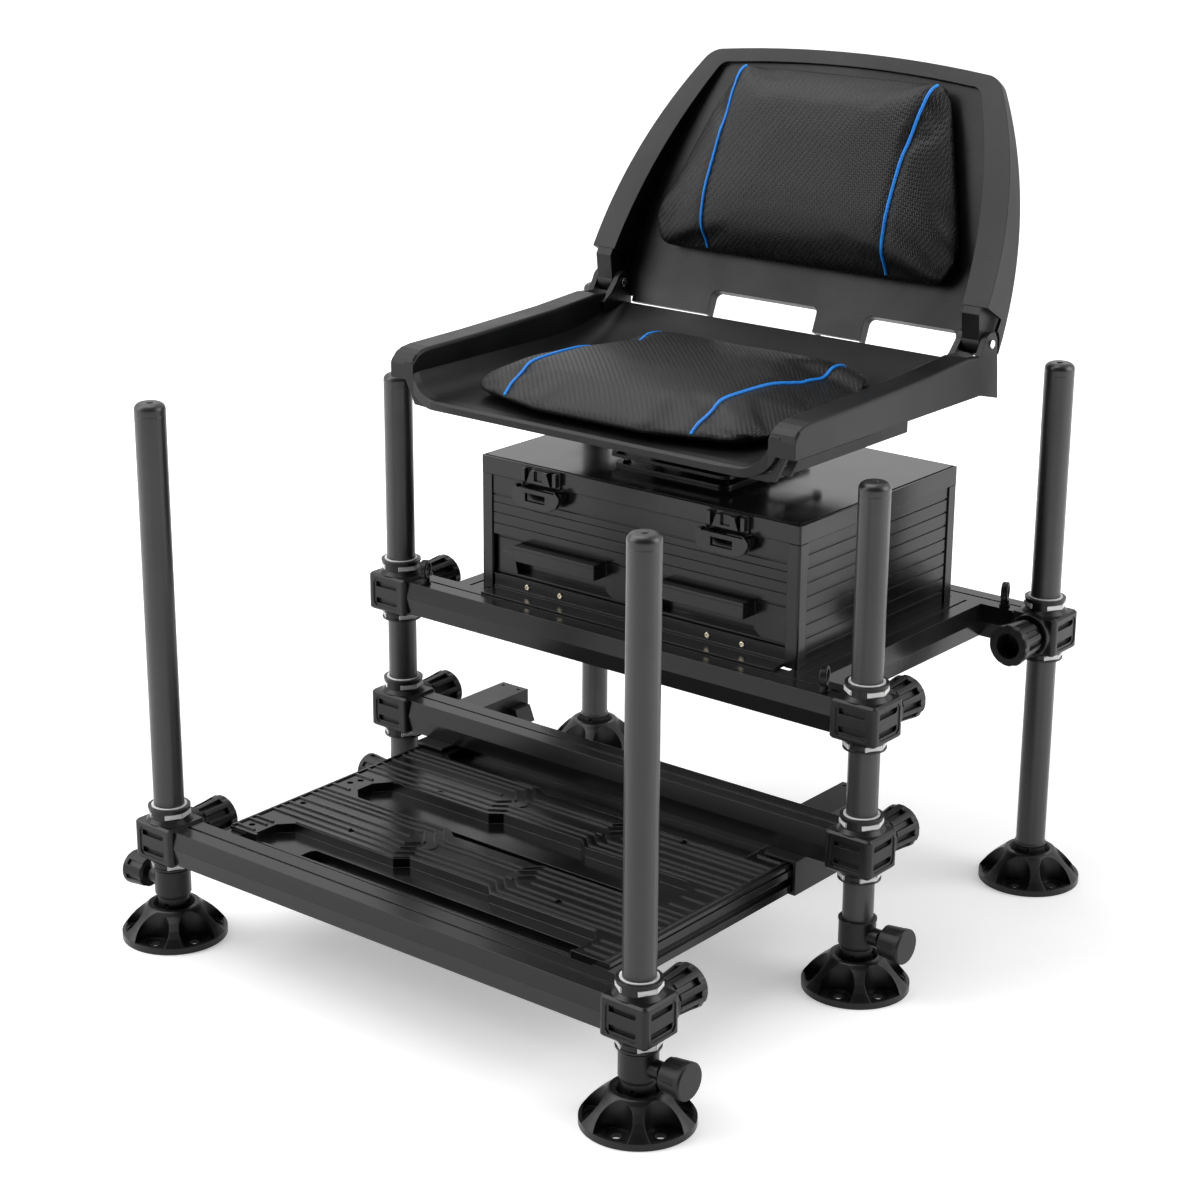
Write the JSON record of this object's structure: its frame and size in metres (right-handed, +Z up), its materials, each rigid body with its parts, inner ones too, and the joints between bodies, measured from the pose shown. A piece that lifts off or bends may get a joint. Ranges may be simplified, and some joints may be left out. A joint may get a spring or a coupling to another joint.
{
  "type": "fishing seat box",
  "caption": "Fishing seat box on six clamped adjustable legs, with a drawer box, a swivel seat with a folding padded backrest, and a sliding footplate.",
  "frame": {"origin": "on the ground, in the middle of the object's width and length", "axes": "+Z up, -Y towards the footplate, +X to the left hand of a person sitting on it"},
  "size_m": [0.7, 0.78, 0.8263],
  "materials": {
    "leg_tube": "satin black anodised tube",
    "rail": "satin black extrusion",
    "clamp": "satin black moulding",
    "moulding": "matt black moulding",
    "knob": "matt dark grey moulding",
    "liner": "natural white moulding",
    "case": "satin black",
    "lid_panel": "gloss black",
    "drawer": "satin black",
    "dark_steel": "blackened steel",
    "bright_steel": "bright plated",
    "seat_shell": "fine grained black moulding",
    "vinyl": "black woven-look vinyl with blue piping"
  },
  "bodies": {
    "frame": {"frame_clamp_blocks": "clamp", "frame_clamp_liners": "liner", "upper_cross_rails": "rail", "upper_side_rails": "rail", "lower_cross_rail": "rail", "runner_channels": "moulding", "runner_brackets": "moulding", "strap_eyelets": "knob", "box_body": "case", "box_corner_posts": "case", "box_screws": "bright_steel", "lid_hinge": "dark_steel"},
    "lid": {"lid_frame": "case", "lid_panel": "lid_panel", "latch_keepers": "dark_steel", "swivel_base": "dark_steel"},
    "latch_left": {"latch_left": "dark_steel"},
    "latch_right": {"latch_right": "dark_steel"},
    "drawer_left": {"drawer_left": "drawer"},
    "drawer_right": {"drawer_right": "drawer"},
    "seat": {"swivel_plate": "dark_steel", "seat_pan": "seat_shell", "seat_cushion": "vinyl", "hinge_pins": "bright_steel"},
    "swivel_lever": {"swivel_lever": "dark_steel"},
    "backrest": {"backrest_shell": "seat_shell", "back_cushion": "vinyl"},
    "footplate": {"footplate_beam": "rail", "footplate_slide_rails": "rail", "footplate_deck": "moulding", "footplate_clamp_blocks": "clamp", "footplate_clamp_liners": "liner"},
    "leg_footplate_left": {"leg_footplate_left": "leg_tube"},
    "foot_sleeve_footplate_left": {"foot_sleeve_footplate_left": "moulding"},
    "foot_screw_footplate_left": {"foot_screw_footplate_left": "knob"},
    "foot_footplate_left": {"foot_footplate_left": "moulding"},
    "leg_footplate_right": {"leg_footplate_right": "leg_tube"},
    "foot_sleeve_footplate_right": {"foot_sleeve_footplate_right": "moulding"},
    "foot_screw_footplate_right": {"foot_screw_footplate_right": "knob"},
    "foot_footplate_right": {"foot_footplate_right": "moulding"},
    "leg_front_left": {"leg_front_left": "leg_tube"},
    "foot_sleeve_front_left": {"foot_sleeve_front_left": "moulding"},
    "foot_screw_front_left": {"foot_screw_front_left": "knob"},
    "foot_front_left": {"foot_front_left": "moulding"},
    "leg_front_right": {"leg_front_right": "leg_tube"},
    "foot_sleeve_front_right": {"foot_sleeve_front_right": "moulding"},
    "foot_screw_front_right": {"foot_screw_front_right": "knob"},
    "foot_front_right": {"foot_front_right": "moulding"},
    "leg_rear_left": {"leg_rear_left": "leg_tube"},
    "foot_rear_left": {"foot_rear_left": "moulding"},
    "leg_rear_right": {"leg_rear_right": "leg_tube"},
    "foot_rear_right": {"foot_rear_right": "moulding"},
    "clamp_knob_front_left_upper": {"clamp_knob_front_left_upper": "knob"},
    "clamp_knob_front_right_upper": {"clamp_knob_front_right_upper": "knob"},
    "clamp_knob_rear_left": {"clamp_knob_rear_left": "knob"},
    "clamp_knob_rear_right": {"clamp_knob_rear_right": "knob"},
    "clamp_knob_front_left_lower": {"clamp_knob_front_left_lower": "knob"},
    "clamp_knob_front_right_lower": {"clamp_knob_front_right_lower": "knob"},
    "clamp_knob_footplate_left": {"clamp_knob_footplate_left": "knob"},
    "clamp_knob_footplate_right": {"clamp_knob_footplate_right": "knob"}
  },
  "joints": [
    {"name": "lid_hinge_turn", "type": "hinge", "parent": "frame", "child": "lid", "pos_m": [0, 0.30243, 0.4173], "axis": [-1, 0, 0], "range_deg": [0, 80]},
    {"name": "latch_left_flip", "type": "hinge", "parent": "frame", "child": "latch_left", "pos_m": [-0.1167, 0.01803, 0.412], "axis": [-1, 0, 0], "range_deg": [0, 25]},
    {"name": "drawer_left_slide", "type": "slide", "parent": "frame", "child": "drawer_left", "axis": [0, -1, 0], "range_m": [0, 0.18]},
    {"name": "latch_right_flip", "type": "hinge", "parent": "frame", "child": "latch_right", "pos_m": [0.1167, 0.01803, 0.412], "axis": [-1, 0, 0], "range_deg": [0, 25]},
    {"name": "drawer_right_slide", "type": "slide", "parent": "frame", "child": "drawer_right", "axis": [0, -1, 0], "range_m": [0, 0.18]},
    {"name": "seat_swivel", "type": "hinge", "parent": "lid", "child": "seat", "pos_m": [0, 0.14903, 0.445], "axis": [0, 0, 1], "continuous": true},
    {"name": "swivel_lever_turn", "type": "hinge", "parent": "seat", "child": "swivel_lever", "pos_m": [0.066, 0.12203, 0.452], "axis": [0, 0, 1], "range_deg": [0, 12], "stiffness_Nm_per_rad": 0.4},
    {"name": "backrest_fold", "type": "hinge", "parent": "seat", "child": "backrest", "pos_m": [0, 0.27163, 0.5746], "axis": [1, 0, 0], "range_deg": [0, 80]},
    {"name": "footplate_slide", "type": "slide", "parent": "frame", "child": "footplate", "axis": [0, -1, 0], "range_m": [-0.02, 0.06]},
    {"name": "leg_footplate_left_slide", "type": "slide", "parent": "footplate", "child": "leg_footplate_left", "axis": [0, 0, 1], "range_m": [-0.2, 0]},
    {"name": "foot_sleeve_footplate_left_slide", "type": "slide", "parent": "leg_footplate_left", "child": "foot_sleeve_footplate_left", "axis": [0, 0, 1], "range_m": [-0.02, 0]},
    {"name": "foot_screw_footplate_left_turn", "type": "hinge", "parent": "foot_sleeve_footplate_left", "child": "foot_screw_footplate_left", "pos_m": [-0.294, -0.33797, 0.057], "axis": [-1, 0, 0], "range_deg": [-30, 720]},
    {"name": "foot_footplate_left_tilt", "type": "hinge", "parent": "foot_sleeve_footplate_left", "child": "foot_footplate_left", "pos_m": [-0.294, -0.33797, 0.022], "axis": [1, 0, 0], "range_deg": [-10, 10]},
    {"name": "leg_footplate_right_slide", "type": "slide", "parent": "footplate", "child": "leg_footplate_right", "axis": [0, 0, 1], "range_m": [-0.2, 0]},
    {"name": "foot_sleeve_footplate_right_slide", "type": "slide", "parent": "leg_footplate_right", "child": "foot_sleeve_footplate_right", "axis": [0, 0, 1], "range_m": [-0.02, 0]},
    {"name": "foot_screw_footplate_right_turn", "type": "hinge", "parent": "foot_sleeve_footplate_right", "child": "foot_screw_footplate_right", "pos_m": [0.294, -0.33797, 0.057], "axis": [1, 0, 0], "range_deg": [-30, 720]},
    {"name": "foot_footplate_right_tilt", "type": "hinge", "parent": "foot_sleeve_footplate_right", "child": "foot_footplate_right", "pos_m": [0.294, -0.33797, 0.022], "axis": [1, 0, 0], "range_deg": [-10, 10]},
    {"name": "leg_front_left_slide", "type": "slide", "parent": "frame", "child": "leg_front_left", "axis": [0, 0, 1], "range_m": [-0.15, 0.03]},
    {"name": "foot_sleeve_front_left_slide", "type": "slide", "parent": "leg_front_left", "child": "foot_sleeve_front_left", "axis": [0, 0, 1], "range_m": [-0.02, 0]},
    {"name": "foot_screw_front_left_turn", "type": "hinge", "parent": "foot_sleeve_front_left", "child": "foot_screw_front_left", "pos_m": [-0.294, -0.00047, 0.057], "axis": [-1, 0, 0], "range_deg": [-30, 720]},
    {"name": "foot_front_left_tilt", "type": "hinge", "parent": "foot_sleeve_front_left", "child": "foot_front_left", "pos_m": [-0.294, -0.00047, 0.022], "axis": [1, 0, 0], "range_deg": [-10, 10]},
    {"name": "leg_front_right_slide", "type": "slide", "parent": "frame", "child": "leg_front_right", "axis": [0, 0, 1], "range_m": [-0.15, 0.03]},
    {"name": "foot_sleeve_front_right_slide", "type": "slide", "parent": "leg_front_right", "child": "foot_sleeve_front_right", "axis": [0, 0, 1], "range_m": [-0.02, 0]},
    {"name": "foot_screw_front_right_turn", "type": "hinge", "parent": "foot_sleeve_front_right", "child": "foot_screw_front_right", "pos_m": [0.294, -0.00047, 0.057], "axis": [1, 0, 0], "range_deg": [-30, 720]},
    {"name": "foot_front_right_tilt", "type": "hinge", "parent": "foot_sleeve_front_right", "child": "foot_front_right", "pos_m": [0.294, -0.00047, 0.022], "axis": [1, 0, 0], "range_deg": [-10, 10]},
    {"name": "leg_rear_left_slide", "type": "slide", "parent": "frame", "child": "leg_rear_left", "axis": [0, 0, 1], "range_m": [-0.2, 0.15]},
    {"name": "foot_rear_left_tilt", "type": "hinge", "parent": "leg_rear_left", "child": "foot_rear_left", "pos_m": [-0.294, 0.32603, 0.022], "axis": [1, 0, 0], "range_deg": [-10, 10]},
    {"name": "leg_rear_right_slide", "type": "slide", "parent": "frame", "child": "leg_rear_right", "axis": [0, 0, 1], "range_m": [-0.2, 0.15]},
    {"name": "foot_rear_right_tilt", "type": "hinge", "parent": "leg_rear_right", "child": "foot_rear_right", "pos_m": [0.294, 0.32603, 0.022], "axis": [1, 0, 0], "range_deg": [-10, 10]},
    {"name": "clamp_knob_front_left_upper_turn", "type": "hinge", "parent": "frame", "child": "clamp_knob_front_left_upper", "pos_m": [-0.294, 0.05953, 0.276], "axis": [0, 1, 0], "range_deg": [-30, 720]},
    {"name": "clamp_knob_front_right_upper_turn", "type": "hinge", "parent": "frame", "child": "clamp_knob_front_right_upper", "pos_m": [0.294, 0.05953, 0.276], "axis": [0, 1, 0], "range_deg": [-30, 720]},
    {"name": "clamp_knob_rear_left_turn", "type": "hinge", "parent": "frame", "child": "clamp_knob_rear_left", "pos_m": [-0.294, 0.26603, 0.276], "axis": [0, -1, 0], "range_deg": [-30, 720]},
    {"name": "clamp_knob_rear_right_turn", "type": "hinge", "parent": "frame", "child": "clamp_knob_rear_right", "pos_m": [0.294, 0.26603, 0.276], "axis": [0, -1, 0], "range_deg": [-30, 720]},
    {"name": "clamp_knob_front_left_lower_turn", "type": "hinge", "parent": "frame", "child": "clamp_knob_front_left_lower", "pos_m": [-0.294, 0.05953, 0.1435], "axis": [0, 1, 0], "range_deg": [-30, 720]},
    {"name": "clamp_knob_front_right_lower_turn", "type": "hinge", "parent": "frame", "child": "clamp_knob_front_right_lower", "pos_m": [0.294, 0.05953, 0.1435], "axis": [0, 1, 0], "range_deg": [-30, 720]},
    {"name": "clamp_knob_footplate_left_turn", "type": "hinge", "parent": "footplate", "child": "clamp_knob_footplate_left", "pos_m": [-0.294, -0.27797, 0.104], "axis": [0, 1, 0], "range_deg": [-30, 720]},
    {"name": "clamp_knob_footplate_right_turn", "type": "hinge", "parent": "footplate", "child": "clamp_knob_footplate_right", "pos_m": [0.294, -0.27797, 0.104], "axis": [0, 1, 0], "range_deg": [-30, 720]}
  ]
}
